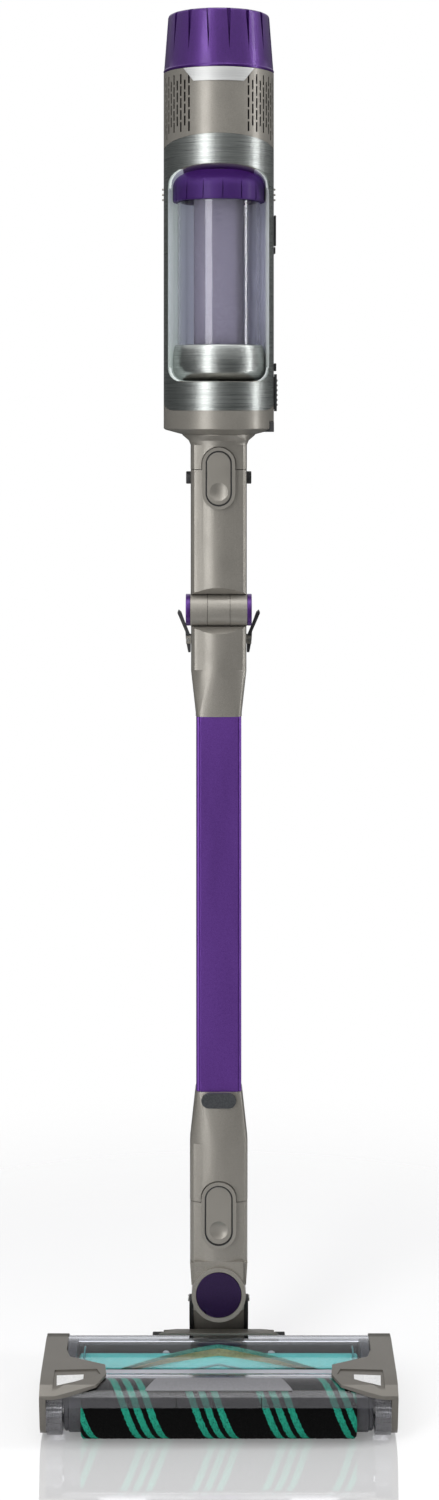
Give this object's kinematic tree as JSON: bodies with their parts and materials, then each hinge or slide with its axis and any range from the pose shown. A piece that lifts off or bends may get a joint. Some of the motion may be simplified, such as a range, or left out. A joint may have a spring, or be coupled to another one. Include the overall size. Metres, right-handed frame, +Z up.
{
  "type": "cordless stick vacuum",
  "caption": "Upright cordless stick vacuum: hand unit with pull-out dust cup and loop handle, folding wand and two-roller floor head",
  "frame": {"origin": "on the floor, in the middle of the footprint of the whole cleaner", "axes": "+Z up along the wand; the front of the floor head faces -Y; +X is the right side seen from the front"},
  "size_m": [0.278, 0.2353, 1.128],
  "materials": {
    "taupe_plastic": "warm grey metallic moulding",
    "dark_plastic": "dark satin plastic",
    "black_plastic": "black moulding",
    "purple_plastic": "purple metallic plastic",
    "purple_tube": "purple anodised aluminium",
    "brushed_wrap": "brushed steel",
    "pin_steel": "turned steel",
    "clear_cup": "clear polycarbonate",
    "smoke_hood": "smoked polycarbonate",
    "teal_rubber": "soft teal fins and bristles",
    "black_pile": "black pile with teal stripes",
    "grip_rubber": "soft rubber",
    "tyre_rubber": "rubber tyre",
    "motor_metal": "motor can",
    "motor_shell": "die-cast motor shell",
    "fan_plastic": "fan moulding",
    "filter_media": "pleated filter media",
    "grey_plastic": "light grey plastic",
    "screen_steel": "satin sleeve, perforated at its foot",
    "lens_white": "white light lens",
    "lens_smoke": "smoked lens",
    "panel_black": "black display panel",
    "plate_grey": "grey bare plate",
    "belt_rubber": "drive belt"
  },
  "bodies": {
    "head": {"head_chassis": "taupe_plastic", "sole_plate": "dark_plastic", "left_cap": "taupe_plastic", "right_cap": "taupe_plastic", "headlight_lenses": "lens_white", "rear_cover": "clear_cup", "front_hood": "smoke_hood", "label_plate": "plate_grey", "axle_pins": "pin_steel", "end_brackets": "smoke_hood", "brush_motor": "motor_metal", "drive_belt": "belt_rubber"},
    "soft_roller": {"soft_roller": "black_pile"},
    "fin_roller": {"fin_roller": "teal_rubber"},
    "drive_pulley": {"drive_pulley": "black_plastic"},
    "left_wheel": {"left_wheel": "tyre_rubber"},
    "right_wheel": {"right_wheel": "tyre_rubber"},
    "neck": {"neck_block": "taupe_plastic", "neck_arms": "black_plastic", "arm_screws": "pin_steel", "swivel_disc": "purple_plastic", "pitch_pin": "pin_steel"},
    "lower_wand": {"elbow": "taupe_plastic", "lower_connector": "taupe_plastic", "indicator_lens": "lens_smoke", "wand_tube": "purple_tube", "hinge_collar": "taupe_plastic", "lever_pins": "pin_steel", "hinge_pin": "pin_steel", "hinge_discs": "purple_plastic"},
    "lower_button": {"lower_button": "taupe_plastic"},
    "left_lever": {"left_lever": "dark_plastic"},
    "right_lever": {"right_lever": "dark_plastic"},
    "hand_unit": {"upper_wand": "taupe_plastic", "side_pegs": "dark_plastic", "unit_neck": "taupe_plastic", "cup_frame": "taupe_plastic", "motor_housing": "taupe_plastic", "exhaust_filter": "filter_media", "suction_motor": "motor_shell", "badge_plate": "brushed_wrap", "steel_wrap": "brushed_wrap", "side_catch": "dark_plastic", "handle": "taupe_plastic", "grip_sleeve": "grip_rubber", "display_panel": "panel_black", "fold_hose": "black_plastic"},
    "upper_button": {"upper_button": "taupe_plastic"},
    "filter_cap": {"filter_cap": "purple_plastic"},
    "motor_fan": {"motor_fan": "fan_plastic"},
    "cup_release": {"cup_release": "dark_plastic"},
    "trigger": {"trigger": "dark_plastic"},
    "mode_button": {"mode_button": "dark_plastic"},
    "battery": {"battery": "dark_plastic"},
    "battery_release": {"battery_release": "purple_plastic"},
    "dust_cup": {"cup_tube": "clear_cup", "cup_collar": "purple_plastic", "cup_base": "brushed_wrap", "cyclone_core": "grey_plastic", "cup_screen": "screen_steel"}
  },
  "joints": [
    {"name": "neck_pitch", "type": "hinge", "parent": "head", "child": "neck", "pos_m": [0, 0.03, 0.02], "axis": [-1, 0, 0], "range_deg": [0, 80]},
    {"name": "wand_swivel", "type": "hinge", "parent": "neck", "child": "lower_wand", "pos_m": [0, 0, 0.0821], "axis": [0, 1, 0], "range_deg": [-50, 50]},
    {"name": "wand_fold", "type": "hinge", "parent": "lower_wand", "child": "hand_unit", "pos_m": [0, -0.012, 0.6386], "axis": [1, 0, 0], "range_deg": [0, 100], "deforming": ["fold_hose"]},
    {"name": "lower_button_press", "type": "slide", "parent": "lower_wand", "child": "lower_button", "axis": [0, 1, 0], "range_m": [0, 0.0025], "stiffness_N_per_m": 600, "springref_m": -0.002},
    {"name": "upper_button_press", "type": "slide", "parent": "hand_unit", "child": "upper_button", "axis": [0, 1, 0], "range_m": [0, 0.0025], "stiffness_N_per_m": 600, "springref_m": -0.002},
    {"name": "left_lever_squeeze", "type": "hinge", "parent": "lower_wand", "child": "left_lever", "pos_m": [-0.0252, 0.008, 0.6126], "axis": [0, 1, 0], "range_deg": [0, 4], "stiffness_Nm_per_rad": 0.1, "springref_deg": -6.88},
    {"name": "right_lever_squeeze", "type": "hinge", "parent": "lower_wand", "child": "right_lever", "pos_m": [0.0252, 0.008, 0.6126], "axis": [0, -1, 0], "range_deg": [0, 4], "stiffness_Nm_per_rad": 0.1, "springref_deg": -6.88},
    {"name": "fin_roller_spin", "type": "hinge", "parent": "head", "child": "fin_roller", "pos_m": [0, -0.043, 0.0245], "axis": [1, 0, 0], "continuous": true},
    {"name": "soft_roller_spin", "type": "hinge", "parent": "head", "child": "soft_roller", "pos_m": [0, -0.09499, 0.022], "axis": [1, 0, 0], "continuous": true},
    {"name": "drive_pulley_spin", "type": "hinge", "parent": "head", "child": "drive_pulley", "pos_m": [0.126, -0.0045, 0.015], "axis": [1, 0, 0], "continuous": true},
    {"name": "left_wheel_spin", "type": "hinge", "parent": "head", "child": "left_wheel", "pos_m": [-0.0515, 0.046, 0.01], "axis": [1, 0, 0], "continuous": true},
    {"name": "right_wheel_spin", "type": "hinge", "parent": "head", "child": "right_wheel", "pos_m": [0.0515, 0.046, 0.01], "axis": [1, 0, 0], "continuous": true},
    {"name": "fan_spin", "type": "hinge", "parent": "hand_unit", "child": "motor_fan", "pos_m": [0, 0, 1.025], "axis": [0, 0, 1], "continuous": true},
    {"name": "cap_twist", "type": "hinge", "parent": "hand_unit", "child": "filter_cap", "pos_m": [0, 0, 1.1], "axis": [0, 0, 1], "range_deg": [0, 30]},
    {"name": "cup_pull", "type": "slide", "parent": "hand_unit", "child": "dust_cup", "axis": [0, -1, 0], "range_m": [0, 0.09]},
    {"name": "cup_release_slide", "type": "slide", "parent": "hand_unit", "child": "cup_release", "axis": [0, 0, -1], "range_m": [0, 0.005], "stiffness_N_per_m": 400, "springref_m": -0.003},
    {"name": "trigger_squeeze", "type": "slide", "parent": "hand_unit", "child": "trigger", "axis": [0, 1, 0], "range_m": [0, 0.003], "stiffness_N_per_m": 500, "springref_m": -0.002},
    {"name": "mode_button_press", "type": "slide", "parent": "hand_unit", "child": "mode_button", "axis": [0, 0, -1], "range_m": [0, 0.0015], "stiffness_N_per_m": 600, "springref_m": -0.002},
    {"name": "battery_slide", "type": "slide", "parent": "hand_unit", "child": "battery", "axis": [0, 1, 0], "range_m": [0, 0.07]},
    {"name": "battery_release_press", "type": "slide", "parent": "battery", "child": "battery_release", "axis": [0, -1, 0], "range_m": [0, 0.002], "stiffness_N_per_m": 600, "springref_m": -0.002}
  ],
  "couplings": [
    {"joint": "soft_roller_spin", "follows": "fin_roller_spin", "ratio": 1},
    {"joint": "drive_pulley_spin", "follows": "fin_roller_spin", "ratio": 2.1667}
  ]
}
